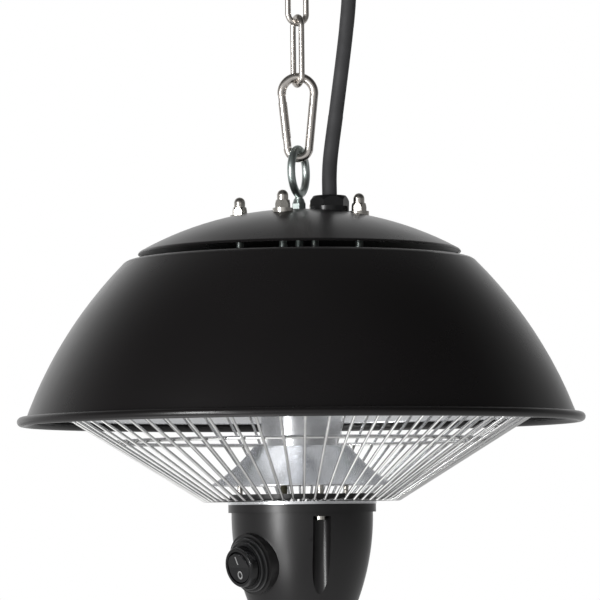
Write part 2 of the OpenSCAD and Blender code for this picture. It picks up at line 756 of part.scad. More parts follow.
module mains_plug() {
    earth_w = 5;
    color(gloss_black) translate([coil_end[0], coil_end[1], plug_z]) difference() {
        rotate_extrude() difference() {
            polygon([[0, 0], [7, 0], [8.6, -22], [12, -26], [14.5, -33], [18.5, -40], [18.5, -55], [0, -55]]);
            for (z = [-4, -9, -14]) translate([7.1, z - 2]) square([5, 2]);
        }
        for (s = [-1, 1]) translate([-earth_w / 2, s * 16.8 - (s < 0 ? 5 : 0), -60])
            cube([earth_w, 5, 18]);
    }
}

module plug_pins() {
    color(steel_nickel) translate([coil_end[0], coil_end[1], plug_z - 55])
        for (s = [-1, 1]) translate([s * 9.5, 0, 0]) {
            translate([0, 0, -17.5]) cylinder(h = 17.5, d = 4.8, $fn = 48);
            translate([0, 0, -17.5]) sphere(d = 4.8, $fn = 48);
        }
}

module shade() {
    color(satin_black)
    translate([0, 0, cover_z]) difference() {
        rotate_extrude($fn = 180) {
            bowl_shell(-shade_curve_off, shade_curve_z, shade_curve_r, shade_bend,
                shade_z, rim_ledge_z - shade_t, shade_t);
            translate([rim_r, shade_low_z + rim_d / 2]) difference() {
                circle(d = rim_d, $fn = 48);
                circle(d = rim_d - 2 * shade_t, $fn = 48);
            }
            translate([shade_wall(rim_ledge_z) - shade_t, rim_ledge_z - shade_t])
                square([rim_r - shade_wall(rim_ledge_z) + shade_t, shade_t]);
        }
        translate([0, 0, shade_z]) {
            cylinder(h = 10, d = eye_shank_d + 2 * bolt_fit, center = true);
            at_studs() cylinder(h = 10, d = stud_d + 2 * bolt_fit, center = true);
            for (i = [0 : air_holes - 1]) rotate([0, 0, 360 / air_holes * (i + 0.5)])
                translate([cover_r - 30, 0, 0]) cylinder(h = 10, d = air_hole_d, center = true);
        }
    }
}

// Polished bowl inside the shade, with a lip that meets the shade's wall
module reflector_bowl() {
    low = lip_z - reflector_t;
    r = shade_curve_r - reflector_inset;
    color(mill_silver)
    translate([0, 0, cover_z]) difference() {
        rotate_extrude($fn = 180) {
            bowl_shell(-shade_curve_off, shade_curve_z, r, shade_bend, reflector_z, low, reflector_t);
            translate([shade_wall(lip_z, reflector_inset + reflector_t), low])
                square([shade_wall(lip_z, shade_t) - touch - shade_wall(lip_z, reflector_inset + reflector_t),
                    reflector_t]);
        }
        translate([0, 0, reflector_z]) cylinder(h = 10, r = core_r + bolt_fit, center = true);
    }
}

// Tube that hangs from the shade's flat top and carries the guard and the housing
module core_tube() {
    top = shade_z - shade_t;
    color(mill_silver)
    translate([0, 0, cover_z]) difference() {
        union() {
            translate([0, 0, base_top_z]) cylinder(h = top - base_top_z, r = core_r);
            translate([0, 0, top - core_flange_t]) cylinder(h = core_flange_t, r = core_flange_r);
        }
        translate([0, 0, base_top_z - 1])
            cylinder(h = top - core_flange_t - base_top_z + 1, r = core_r - core_t);
        translate([0, 0, top]) {
            cylinder(h = 10, d = eye_shank_d + 2 * bolt_fit, center = true);
            at_studs() cylinder(h = 10, d = stud_d + 2 * bolt_fit, center = true);
        }
    }
}

module bright_sleeve() {
    color(mill_silver) translate([0, 0, cover_z + sleeve_low_z]) difference() {
        cylinder(h = reflector_z - reflector_t - sleeve_low_z, r = sleeve_r);
        translate([0, 0, -1]) cylinder(h = 200, r = sleeve_r - sleeve_t);
    }
}

// Ring that centres the sleeve above and the flared reflector below
module waist_collar() {
    spigot = 4;
    color(mill_silver) translate([0, 0, cover_z]) difference() {
        union() {
            translate([0, 0, waist_low_z]) cylinder(h = waist_h, r = waist_r);
            translate([0, 0, sleeve_low_z - 1.2]) cylinder(h = 1.2, r = sleeve_r - 0.3);
            translate([0, 0, sleeve_low_z]) cylinder(h = spigot, r = sleeve_r - sleeve_t - touch);
        }
        translate([0, 0, waist_low_z - 1]) cylinder(h = waist_h + spigot + 2, r = core_r + touch);
    }
}

// Half section of the flared reflector: the space above its hollow curve, cut to its height
module flare_half(inset) {
    bend = 1.5;
    start = [flare_top_r, waist_low_z - bend];
    finish = [flare_r, flare_low_z];
    chord = norm(finish - start);
    mid = (start + finish) / 2;
    drop = sqrt(pow(flare_curve_r, 2) - pow(chord / 2, 2));
    away = [start[1] - finish[1], finish[0] - start[0]] / chord;
    middle = mid + away * drop;
    difference() {
        polygon([[0, flare_low_z - 1], [flare_r + 2, flare_low_z - 1], [flare_r + 2, flare_low_z],
            start, [flare_top_r - bend, waist_low_z - inset], [0, waist_low_z - inset]]);
        translate(middle) circle(r = flare_curve_r + inset, $fn = 360);
    }
}

module flared_reflector() {
    color(mill_silver) translate([0, 0, cover_z]) difference() {
        rotate_extrude() intersection() {
            difference() {
                flare_half(0);
                flare_half(reflector_t);
            }
            translate([0, flare_low_z]) square([2 * flare_r, 2 * flare_h]);
        }
        translate([0, 0, waist_low_z]) cylinder(h = 10, r = core_r + touch, center = true);
    }
}

// Repeats its children at the three long screws
module at_screws() {
    for (i = [0 : 2]) rotate([0, 0, screw_turn - 90 + 120 * i]) children();
}

module flare_base() {
    color(mill_silver) translate([0, 0, cover_z]) difference() {
        union() {
            translate([0, 0, base_low_z]) cylinder(h = base_t, r = flare_r - 4.4);
            at_screws() translate([screw_circle_r, 0, base_low_z + 0.4])
                cylinder(h = base_t + 2.6, r = 3.4);
        }
        at_screws() translate([screw_circle_r, 0, base_low_z - 1])
            cylinder(h = 10, d = long_screw_d + 2 * touch, $fn = 48);
        for (s = [-1, 1]) translate([13.5 * s, 0, base_low_z - 1]) cylinder(h = 5, d = 5 + 2 * bolt_fit);
    }
}

// Heat-proof sleeves of the two leads that cross the open gap
module lead_sleeves() {
    color("#7d7a68") translate([0, 0, cover_z])
        for (s = [-1, 1]) translate([13.5 * s, 0, pan_z - 4])
            cylinder(h = base_top_z + 6 - pan_z + 4, d = 5, $fn = 48);
}

module heating_tube() {
    color("#e8e6e0", 0.5) translate([0, 0, cover_z + lamp_z])
        rotate([0, 0, 90 + (360 - lamp_sweep) / 2]) rotate_extrude(angle = lamp_sweep)
            translate([lamp_ring_r, 0]) difference() {
                circle(d = lamp_d, $fn = 48);
                circle(d = lamp_d - 2 * lamp_wall, $fn = 48);
            }
}

// Ceramic caps, slipped over the two ends of the tube
module tube_caps() {
    cap_a = 360 * lamp_cap_len / (2 * PI * lamp_ring_r);
    over_a = cap_a * 0.4;
    gap_a = 360 - lamp_sweep;
    color("#e9e5da") translate([0, 0, cover_z + lamp_z]) {
        for (from = [90 + gap_a / 2 - cap_a + over_a, 90 - gap_a / 2 - over_a])
            difference() {
                rotate([0, 0, from]) rotate_extrude(angle = cap_a)
                    translate([lamp_ring_r, 0]) circle(d = lamp_cap_d, $fn = 48);
                rotate([0, 0, 90 + gap_a / 2]) rotate_extrude(angle = lamp_sweep)
                    translate([lamp_ring_r, 0]) circle(d = lamp_d + 2 * touch, $fn = 48);
            }
    }
}

// Sheet clips that hang the heating tube from the reflector's roof
module tube_clips() {
    w = 8;
    r = lamp_d / 2 + 0.2;
    roof = reflector_z - reflector_t;
    color(steel_zinc) translate([0, 0, cover_z]) for (a = [-90, 20, 160]) rotate([0, 0, a])
        translate([lamp_ring_r, 0, 0]) {
            translate([0, 0, lamp_z]) rotate([90, 0, 0]) difference() {
                cylinder(h = w, r = r + 1, center = true);
                cylinder(h = w + 2, r = r, center = true);
                rotate([0, 0, -90]) translate([r * 0.6, -3, -w]) cube([2 * r, 6, 2 * w]);
            }
            translate([-0.6, -w / 2, lamp_z + r + 0.4]) cube([1.2, w, roof - lamp_z - r - 0.4]);
            translate([-0.6, -w / 2, roof - 1.2]) cube([12, w, 1.2]);
        }
}

// One spoke, bent once: slanted from the top ring, then level over the housing
module spoke() {
    bend = 4;
    t = bend * tan(guard_slope / 2);
    len = norm([guard_top_r - guard_foot_r, guard_h]) - t;
    translate([guard_foot_r + t * cos(guard_slope), 0, spoke_z + t * sin(guard_slope)])
        rotate([0, 90 - guard_slope, 0]) translate([0, 0, -0.2])
            cylinder(h = len + 0.2, d = spoke_d - draw_fit, $fn = 24);
    translate([guard_foot_r - t, 0, spoke_z + bend]) rotate([90, 0, 0]) rotate([0, 0, -90])
        rotate_extrude(angle = guard_slope) translate([bend, 0]) circle(d = spoke_d, $fn = 24);
    translate([guard_foot_r - t + 0.2, 0, spoke_z]) rotate([0, -90, 0])
        cylinder(h = spoke_reach - t + 0.2, d = spoke_d - draw_fit, $fn = 24);
}

// The spokes stand at equal steps, with each long screw midway between two of them
module guard_spokes() {
    color(mill_silver) translate([0, 0, cover_z])
        for (i = [0 : spoke_count - 1])
            rotate([0, 0, screw_turn - 90 + 360 / spoke_count * (i + 0.5)]) spoke();
}

// Ring of round wire that lies on the inside of the spokes at radius r
module guard_ring(r) {
    translate([0, 0, spoke_at(r) + ring_off * cos(guard_slope)])
        rotate_extrude() translate([r - ring_off * sin(guard_slope), 0]) circle(d = ring_wire_d, $fn = 32);
}

module guard_rings() {
    color(mill_silver) translate([0, 0, cover_z]) {
        guard_ring(guard_top_r - 1);
        guard_ring(guard_mid_r + ring_off * sin(guard_slope));
    }
}

// Four sheet hooks, spot-welded to the reflector, that the guard's top ring lies in
module guard_hooks() {
    rr = guard_top_r - 1 - ring_off * sin(guard_slope);
    rz = spoke_at(guard_top_r - 1) + ring_off * cos(guard_slope);
    top = rz + ring_wire_d / 2 + 0.2;
    back_h = 7;
    low_r = shade_wall(top, reflector_inset + reflector_t) - 0.15;
    high_r = shade_wall(top + back_h, reflector_inset + reflector_t) - 0.15;
    in_r = rr - ring_wire_d / 2 - 0.3;
    sweep = 4;
    color(mill_silver) translate([0, 0, cover_z]) for (a = [45 : 90 : 315])
        rotate([0, 0, a - sweep / 2]) rotate_extrude(angle = sweep) {
            translate([in_r - 1, top]) square([low_r - in_r + 0.4, 1]);
            translate([in_r - 1, rz]) square([1, top + 1 - rz]);
            polygon([[low_r - 1, top], [low_r, top], [high_r, top + back_h], [high_r - 1, top + back_h]]);
        }
}

// Dark steel pan over the housing
module heat_pan() {
    color("#2a2a2b") translate([0, 0, cover_z + pan_z - pan_h]) difference() {
        cylinder(h = pan_h, r = pan_r);
        translate([0, 0, -1]) cylinder(h = pan_h, r = pan_r - 8);
        at_screws() translate([screw_circle_r, 0, -1])
            cylinder(h = 10, d = long_screw_d + 2 * bolt_fit, $fn = 48);
        for (s = [-1, 1]) translate([13.5 * s, 0, 0]) cylinder(h = 10, d = 5 + 2 * bolt_fit);
    }
}

// Bright flat ring that the spokes rest on, seen as a line above the housing
module base_ring() {
    color(mill_silver) translate([0, 0, cover_z + housing_z]) difference() {
        cylinder(h = ring_plate_t, r = flange_r + 0.4);
        translate([0, 0, -1]) cylinder(h = 10, r = screw_circle_r - 6);
        at_screws() translate([screw_circle_r, 0, -1])
            cylinder(h = 10, d = long_screw_d + 2 * bolt_fit, $fn = 48);
    }
}

// Solid form of the housing below its flange, made smaller by inset
module housing_form(inset) {
    rotate_extrude($fn = 120) mirror([0, 1])
        bowl_half(housing_r - housing_curve_r, -housing_curve_z, housing_curve_r, housing_bend,
            -housing_low_z, -housing_z, inset);
}

// Space of one screw groove, widened by grow
module groove(grow) {
    r = groove_w / 2;
    translate([groove_floor_r + r, 0, housing_low_z]) {
        cylinder(h = groove_top_z + grow - housing_low_z, r = r + grow);
        translate([0, -r - grow, 0]) cube([40, 2 * (r + grow), groove_top_z + grow - housing_low_z]);
    }
}

// Places its children on the switch: Z points out of the wall, minus X up, and Y along the hinge
module at_switch() {
    rotate([0, 0, -90 - switch_turn]) translate([housing_wall(switch_z), 0, switch_z])
        rotate([0, 90 + switch_tilt, 0]) children();
}

module control_housing() {
    color(satin_black) translate([0, 0, cover_z]) difference() {
        union() {
            difference() {
                union() {
                    housing_form(0);
                    translate([0, 0, housing_z - flange_h]) cylinder(h = flange_h, r = flange_r);
                    at_switch() translate([0, 0, -9]) cylinder(h = 9 + seat_h, r = seat_r);
                }
                difference() {
                    union() {
                        housing_form(housing_t);
                        translate([0, 0, housing_z - flange_h]) cylinder(h = flange_h + 1, r = 40);
                    }
                    translate([0, 0, housing_z - flange_h]) cylinder(h = flange_h + 1, r = 60);
                    at_screws() groove(housing_t);
                    at_switch() translate([0, 0, -9]) cylinder(h = 30, r = seat_r);
                }
            }
        }
        translate([0, 0, housing_z - flange_h - 1]) cylinder(h = flange_h + 2, r = 40);
        at_screws() {
            groove(0);
            translate([screw_circle_r, 0, groove_top_z])
                cylinder(h = 20, d = long_screw_d + 2 * bolt_fit, $fn = 48);
        }
        at_switch() cylinder(h = 60, r = bezel_hole_r + 1.5, center = true);
    }
}

// Three long screws, put in from the grooves, that hold the housing up to the flared reflector
module housing_screws() {
    color(steel_nickel) translate([0, 0, cover_z]) at_screws() translate([screw_circle_r, 0, 0]) {
        translate([0, 0, groove_top_z - 1])
            cylinder(h = base_top_z + 4 - groove_top_z, d = long_screw_d, $fn = 48);
        difference() {
            translate([0, 0, groove_top_z - screw_head_h])
                cylinder(h = screw_head_h, d = screw_head_d, $fn = 48);
            translate([-3, -0.5, groove_top_z - screw_head_h - 1]) cube([6, 1, 2.2]);
            translate([-0.5, -3, groove_top_z - screw_head_h - 1]) cube([1, 6, 2.2]);
        }
    }
}

// Stepped rubber ring round the switch
module switch_collar() {
    color(gloss_black) translate([0, 0, cover_z]) at_switch() rotate_extrude() difference() {
        polygon([[bezel_hole_r + 1.7, seat_h], [seat_r - 2.4, seat_h], [seat_r - 2.4, seat_h + 1.8],
            [seat_r - 3, seat_h + 2.4], [seat_r - 4.6, seat_h + 2.4], [seat_r - 4.6, seat_h + 4.6],
            [seat_r - 5.2, seat_h + 5.2], [bezel_hole_r + 1.7, seat_h + 5.2]]);
        translate([seat_r - 6.4, seat_h + 4.6]) square([0.7, 1]);
    }
}

module switch_bezel() {
    top = bezel_h;
    color(gloss_black) translate([0, 0, cover_z]) at_switch() difference() {
        rotate_extrude() polygon([[bezel_hole_r, -9], [bezel_hole_r + 1.4, -9],
            [bezel_hole_r + 1.4, seat_h + 5.4], [bezel_r + 0.4, seat_h + 5.8], [bezel_r, top - 1.2],
            [bezel_r - 0.6, top - 0.3], [bezel_r - 1.2, top], [bezel_hole_r, top]]);
        translate([0, 0, rocker_pivot_h]) rotate([90, 0, 0])
            cylinder(h = 2 * (bezel_hole_r + 1), d = rocker_pin_d + 2 * pin_fit, center = true, $fn = 48);
    }
}

// Part of the switch inside the housing, with its three tabs
module switch_body() {
    color("#26262a") translate([0, 0, cover_z]) at_switch() {
        translate([0, 0, -14]) cylinder(h = 14 + rocker_pivot_h - rocker_reach, r = bezel_hole_r - 0.1);
        for (x = [-6, 0, 6]) translate([x - 0.4, -2.4, -22]) cube([0.8, 4.8, 9]);
    }
}

module switch_rocker() {
    r = rocker_ball_r;
    color(gloss_black) translate([0, 0, cover_z]) at_switch() translate([0, 0, rocker_pivot_h]) {
        difference() {
            intersection() {
                sphere(r = r);
                translate([-r, -r, -rocker_depth]) cube([2 * r, 2 * r, 20]);
            }
            intersection() {
                translate([-20, -20, rocker_face]) cube([40, 40, 20]);
                translate([0, 0, rocker_face]) rotate([0, rocker_travel, 0])
                    translate([-20, -20, 0]) cube([40, 40, 20]);
            }
        }
        rotate([90, 0, 0]) cylinder(h = 2 * (bezel_hole_r + 0.7), d = rocker_pin_d, center = true, $fn = 48);
    }
}

ceiling_plate();
ceiling_hook();
chain_link_e();
chain_link_d();
chain_link_c();
cord_coil();
cord_ties();
mains_plug();
plug_pins();
chain_link_a();
chain_link_b();
snap_hook_body();
snap_gate_pin();
snap_gate();
eye_bolt();
eye_bolt_nuts();
top_cover();
cover_studs();
acorn_nuts();
stud_washers();
stud_nuts();
gland_body();
gland_nut();
gland_locknut();
cord_run();
shade();
reflector_bowl();
core_tube();
bright_sleeve();
waist_collar();
flared_reflector();
flare_base();
lead_sleeves();
heating_tube();
tube_caps();
tube_clips();
guard_spokes();
guard_rings();
guard_hooks();
heat_pan();
base_ring();
control_housing();
housing_screws();
switch_collar();
switch_bezel();
switch_body();
switch_rocker();
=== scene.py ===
import math
import bmesh
import bpy
from mathutils import Matrix, Vector


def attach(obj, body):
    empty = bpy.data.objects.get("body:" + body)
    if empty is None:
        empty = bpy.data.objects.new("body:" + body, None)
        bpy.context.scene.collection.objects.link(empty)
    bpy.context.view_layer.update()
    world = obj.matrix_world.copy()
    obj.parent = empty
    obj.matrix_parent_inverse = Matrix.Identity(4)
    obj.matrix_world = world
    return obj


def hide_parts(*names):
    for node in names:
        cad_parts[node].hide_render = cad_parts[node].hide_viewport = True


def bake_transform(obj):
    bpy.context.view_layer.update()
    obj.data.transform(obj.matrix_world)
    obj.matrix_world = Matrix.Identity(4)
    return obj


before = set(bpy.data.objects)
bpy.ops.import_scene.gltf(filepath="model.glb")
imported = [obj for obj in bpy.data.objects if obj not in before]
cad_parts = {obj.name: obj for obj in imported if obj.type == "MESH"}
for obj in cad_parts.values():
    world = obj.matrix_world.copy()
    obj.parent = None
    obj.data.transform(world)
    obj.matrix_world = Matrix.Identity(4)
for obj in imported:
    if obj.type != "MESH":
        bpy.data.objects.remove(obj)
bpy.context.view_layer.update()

scene = bpy.context.scene
scene.view_settings.view_transform = "Standard"

# Camera: in front of the heater at the height of the wire guard's foot,
# two and a half metres away with a long lens, tilted up a little
CAMERA_PLACE = Vector((0.0, -2.475, -0.604))
CAMERA_TARGET = Vector((0.0, 0.0, -0.442))
CAMERA_ROLL = math.radians(-0.6)
LENS_LENGTH = 198.0
SENSOR_WIDTH = 36.0
FARTHEST_SEEN = 50.0


def facing(place, target):
    """The stance of a camera or lamp that stands at one point and looks at another."""
    turn = (target - place).to_track_quat("-Z", "Y").to_matrix().to_4x4()
    return Matrix.Translation(place) @ turn


camera_data = bpy.data.cameras.new("camera")
camera_data.lens = LENS_LENGTH
camera_data.sensor_width = SENSOR_WIDTH
camera_data.clip_end = FARTHEST_SEEN
camera = bpy.data.objects.new("camera", camera_data)
scene.collection.objects.link(camera)
camera.matrix_world = facing(CAMERA_PLACE, CAMERA_TARGET) @ Matrix.Rotation(CAMERA_ROLL, 4, "Z")
scene.camera = camera

# Supply cord: round rubber-sheathed lead, 11.2 mm thick and about 1.85 m long.
# It leaves the gland on the cover, rises beside the chain and is coiled behind the upper links,
# where two ties hold it; its free length is made in four stretches, and the coil rides on the upper chain
CORD_THICK = 0.0112
CORD_SIDES = 14
POINT_STEP = 0.00225
STRETCH = 0.0675
# The bodies along the cord, from the gland up; one stretch is made for each pair of neighbours
CORD_BODIES = ["heater", "snap_hook", "link_b", "link_a", "upper_chain"]
# Middle of the free cord, in millimetres from the top of the cover
COVER_TOP = -0.374094
CORD_WAY = [(23, -8, 3), (23, -8, 13), (23, -8, 24), (23.7, -8, 36), (25.4, -8, 50), (28, -8, 68),
            (31, -8, 90), (34.4, -8, 115), (37, -8, 136), (39, -7.5, 157), (39.3, -5.5, 175),
            (37, -1.5, 192), (31.8, 4, 208), (24.6, 9.3, 223), (17.4, 13.4, 237)]
# How finely the smooth line between those points is worked out
CURVE_STEP = 0.001
PARTS_OF_SPAN = 24
ROUNDING = 1e-9
# The coil hangs beside the chain's axis and just behind the links, in two flat layers
COIL_TURNS = 4.5
COIL_SIDES = 12
COIL_PARTS_OF_TURN = 60
COIL_AWAY = 0.057
COIL_MIDDLE = Vector((-COIL_AWAY, 0.0, -0.113394))
COIL_STEP = 0.012
COIL_INNER = COIL_AWAY - COIL_STEP - COIL_STEP / 4
LAYER_TURNS = 2
LAYER_CHANGE = 0.5
LINK_HALF = 0.0075
LINK_WIRE = 0.0045
CHAIN_TURN = math.radians(25)
COIL_GAP = 0.0007
COIL_NEAR = LINK_HALF * math.cos(CHAIN_TURN) + LINK_WIRE / 2 + CORD_THICK / 2 + COIL_GAP


def new_effect(name, inputs, outputs):
    """An empty shader node group with named inputs and outputs."""
    effect = bpy.data.node_groups.new(name, "ShaderNodeTree")
    for label, kind, value in inputs:
        socket = effect.interface.new_socket(label, in_out="INPUT", socket_type=kind)
        if value is not None:
            socket.default_value = value
    for label, kind in outputs:
        effect.interface.new_socket(label, in_out="OUTPUT", socket_type=kind)
    return effect, effect.nodes.new("NodeGroupInput"), effect.nodes.new("NodeGroupOutput")


def cloud_effect():
    """Soft uneven patches, as handling and plating leave them: a mask from 0 to 1."""
    takes = [("Place", "NodeSocketVector", None), ("Patch Scale", "NodeSocketFloat", 40.0)]
    effect, come, go = new_effect("uneven_patches", takes, [("Mask", "NodeSocketFloat")])
    patches = effect.nodes.new("ShaderNodeTexNoise")
    patches.inputs["Detail"].default_value = 5.0
    spread = effect.nodes.new("ShaderNodeMapRange")
    spread.inputs["From Min"].default_value = 0.3
    spread.inputs["From Max"].default_value = 0.7
    effect.links.new(come.outputs["Place"], patches.inputs["Vector"])
    effect.links.new(come.outputs["Patch Scale"], patches.inputs["Scale"])
    effect.links.new(patches.outputs["Fac"], spread.inputs["Value"])
    effect.links.new(spread.outputs["Result"], go.inputs["Mask"])
    return effect


def grain_effect():
    """A fine skin, from orange peel to moulded grain, as a normal."""
    takes = [("Place", "NodeSocketVector", None), ("Grain Scale", "NodeSocketFloat", 900.0),
             ("Depth", "NodeSocketFloat", 0.2)]
    effect, come, go = new_effect("fine_skin", takes, [("Normal", "NodeSocketVector")])
    grain = effect.nodes.new("ShaderNodeTexNoise")
    grain.inputs["Detail"].default_value = 2.5
    bump = effect.nodes.new("ShaderNodeBump")
    bump.inputs["Distance"].default_value = 0.00006
    effect.links.new(come.outputs["Place"], grain.inputs["Vector"])
    effect.links.new(come.outputs["Grain Scale"], grain.inputs["Scale"])
    effect.links.new(come.outputs["Depth"], bump.inputs["Strength"])
    effect.links.new(grain.outputs["Fac"], bump.inputs["Height"])
    effect.links.new(bump.outputs["Normal"], go.inputs["Normal"])
    return effect


uneven_patches = cloud_effect()
fine_skin = grain_effect()


def base_finish(name, light, dark, smooth, rough, patch_scale, grain, depth):
    """A material whose colour and gloss vary in patches between two values, with a fine skin."""
    material = bpy.data.materials.new(name)
    material.use_nodes = True
    nodes = material.node_tree.nodes
    links = material.node_tree.links
    shader = nodes["Principled BSDF"]
    place = nodes.new("ShaderNodeTexCoord")
    patches = nodes.new("ShaderNodeGroup")
    patches.node_tree = uneven_patches
    patches.inputs["Patch Scale"].default_value = patch_scale
    skin = nodes.new("ShaderNodeGroup")
    skin.node_tree = fine_skin
    skin.inputs["Grain Scale"].default_value = grain
    skin.inputs["Depth"].default_value = depth
    tone = nodes.new("ShaderNodeMix")
    tone.data_type = "RGBA"
    tone.inputs["A"].default_value = (*light, 1)
    tone.inputs["B"].default_value = (*dark, 1)
    dull = nodes.new("ShaderNodeMapRange")
    dull.inputs["To Min"].default_value = smooth
    dull.inputs["To Max"].default_value = rough
    links.new(place.outputs["Object"], patches.inputs["Place"])
    links.new(place.outputs["Object"], skin.inputs["Place"])
    links.new(patches.outputs["Mask"], tone.inputs["Factor"])
    links.new(patches.outputs["Mask"], dull.inputs["Value"])
    links.new(tone.outputs["Result"], shader.inputs["Base Color"])
    links.new(dull.outputs["Result"], shader.inputs["Roughness"])
    links.new(skin.outputs["Normal"], shader.inputs["Normal"])
    return material, shader


def rubber_finish(name, colour, roughness, grain):
    """Moulded rubber, plastic or ceramic: dull, with a fine skin and faint handling marks."""
    material, shader = base_finish(name, light=[c * 1.2 for c in colour], dark=[c * 0.85 for c in colour],
                                   smooth=roughness - 0.06, rough=roughness + 0.08,
                                   patch_scale=60.0, grain=grain, depth=0.3)
    shader.inputs["Specular IOR Level"].default_value = 0.4
    return material


def way_length(route):
    """Length of the line through the route's points."""
    return sum((b - a).length for a, b in zip(route, route[1:]))


def even_route(fine, step):
    """The same line with its points at equal distances."""
    length = way_length(fine)
    count = max(2, round(length / step))
    even = [fine[0]]
    travelled = 0.0
    wanted = length / count
    for a, b in zip(fine, fine[1:]):
        span = (b - a).length
        while travelled + span >= wanted - ROUNDING and len(even) < count:
            even.append(a.lerp(b, (wanted - travelled) / span))
            wanted += length / count
        travelled += span
    even.append(fine[-1])
    return even


def smooth_route(points, step):
    """Points a step apart on a smooth line through the given ones."""
    fine = []
    for i in range(len(points) - 1):
        before = points[max(i - 1, 0)]
        here = points[i]
        there = points[i + 1]
        after = points[min(i + 2, len(points) - 1)]
        for k in range(PARTS_OF_SPAN):
            t = k / PARTS_OF_SPAN
            fine.append(0.5 * ((2 * here) + (there - before) * t
                               + (2 * before - 5 * here + 4 * there - after) * t * t
                               + (3 * here - before - 3 * there + after) * t * t * t))
    fine.append(points[-1])
    return even_route(fine, step)


def cord_tube(name, route, sides):
    """A mesh tube of the cord's thickness along the route, closed, with an even number of sides."""
    line = bpy.data.curves.new(name, "CURVE")
    line.dimensions = "3D"
    line.bevel_depth = CORD_THICK / 2
    line.bevel_resolution = (sides - 4) // 2
    line.use_fill_caps = True
    spline = line.splines.new("POLY")
    spline.points.add(len(route) - 1)
    for spot, point in zip(spline.points, route):
        spot.co = (*point, 1)
    shape = bpy.data.objects.new(name + "_line", line)
    scene.collection.objects.link(shape)
    bpy.context.view_layer.update()
    mesh = bpy.data.meshes.new_from_object(shape.evaluated_get(bpy.context.evaluated_depsgraph_get()))
    bpy.data.objects.remove(shape)
    mesh.name = name
    for face in mesh.polygons:
        face.use_smooth = len(face.vertices) == 4
    tube = bpy.data.objects.new(name, mesh)
    scene.collection.objects.link(tube)
    tube.data.materials.clear()
    tube.data.materials.append(cord_rubber)
    return tube


def coil_point(turn):
    """A point on the coil's spiral, which runs inwards, steps back one layer and runs out again."""
    radius = COIL_INNER + COIL_STEP * abs(turn - COIL_TURNS / 2)
    t = min(1.0, max(0.0, (turn - LAYER_TURNS) / LAYER_CHANGE))
    back = COIL_NEAR + COIL_STEP * t * t * (3 - 2 * t)
    angle = 2 * math.pi * turn
    return COIL_MIDDLE + Vector((radius * math.cos(angle), back, radius * math.sin(angle)))


def below_coil(turn, quarters):
    """A point under one end of the spiral, by quarters of the cord's thickness."""
    return coil_point(turn) - Vector((0, 0, CORD_THICK * quarters / 4))


cord_rubber = rubber_finish("cord_rubber", (0.036, 0.036, 0.038), roughness=0.66, grain=2600.0)

coil_route = [below_coil(0, quarters) for quarters in (4, 3, 2, 1)]
coil_route += [coil_point(k / COIL_PARTS_OF_TURN) for k in range(int(COIL_PARTS_OF_TURN * COIL_TURNS) + 1)]
coil_route += [below_coil(COIL_TURNS, quarters) for quarters in (1, 2, 3, 4)]

free_points = [Vector((x / 1000, y / 1000, z / 1000 + COVER_TOP)) for x, y, z in CORD_WAY] + [coil_route[0]]
cord_line = even_route(smooth_route(free_points, CURVE_STEP) + coil_route[1:], POINT_STEP)
per_stretch = round(STRETCH / (way_length(cord_line) / (len(cord_line) - 1)))
for number, (lower_body, upper_body) in enumerate(zip(CORD_BODIES, CORD_BODIES[1:])):
    stretch = cord_line[number * per_stretch:(number + 1) * per_stretch + 1]
    tube = cord_tube("cord_stretch_%d" % (number + 1), stretch, CORD_SIDES)
    if number == 0:
        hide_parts("cord_run")
    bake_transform(tube)
coil_line = cord_line[(len(CORD_BODIES) - 1) * per_stretch:]
coil = cord_tube("cord_coil_loops", coil_line, COIL_SIDES)
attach(coil, "upper_chain")
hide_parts("cord_coil")

# Plug: two-part moulded body in soft black PVC over round polished steel pins,
# and two black nylon ties with ribbed straps, pulled tight round the coil and the chain
def give(node_name, material):
    """Gives a CAD piece its finish."""
    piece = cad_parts[node_name]
    if not piece.material_slots:
        piece.data.materials.append(material)
    for slot in piece.material_slots:
        slot.material = material


def plated_finish(name, light, dark, smooth, rough, patch_scale, grain, depth):
    """Bare or plated metal whose tone and gloss vary in patches, with a fine skin."""
    material, shader = base_finish(name, light, dark, smooth, rough, patch_scale, grain, depth)
    shader.inputs["Metallic"].default_value = 1.0
    return material


give("mains_plug", rubber_finish("plug_rubber", (0.018, 0.018, 0.018), roughness=0.45, grain=1800.0))
polished_steel = plated_finish("polished_steel", light=(0.78, 0.74, 0.70), dark=(0.64, 0.60, 0.56),
                               smooth=0.2, rough=0.36, patch_scale=90.0, grain=900.0, depth=0.12)
give("plug_pins", polished_steel)
give("cord_ties", rubber_finish("tie_nylon", (0.012, 0.012, 0.012), roughness=0.32, grain=900.0))

# Ceiling plate and hook: pressed steel plate and bent steel wire, both zinc plated,
# with the plating's grey-green bloom in patches; three screws hold the plate to the ceiling
zinc = plated_finish("zinc_plate", light=(0.62, 0.67, 0.65), dark=(0.42, 0.49, 0.47),
                     smooth=0.3, rough=0.5, patch_scale=160.0, grain=1500.0, depth=0.3)
give("ceiling_plate", zinc)
give("ceiling_hook", zinc)

# Chain and snap hook: welded links and a bent-rod hook in polished stainless steel;
# the hook's gate turns on a small rivet and closes over a flat nose
for name in ("chain_link_e", "chain_link_d", "chain_link_c", "chain_link_a", "chain_link_b",
             "snap_hook_body", "snap_gate", "snap_gate_pin"):
    give(name, polished_steel)

# Eye bolt: a round zinc-plated eye on a threaded shank, clamped to the cover by nuts from below;
# a hexagon nut and a tapered shoulder close the gap between the cover and the eye
EYE_NUT_ACROSS = 0.010
EYE_NUT_HIGH = 0.005
EYE_NUT_EDGE = 0.0004
EYE_NUT_SUNK = 0.0001
EYE_SHOULDER_HIGH = 0.0035
EYE_SHOULDER_FOOT = 0.0049
EYE_SHOULDER_TOP = 0.0036


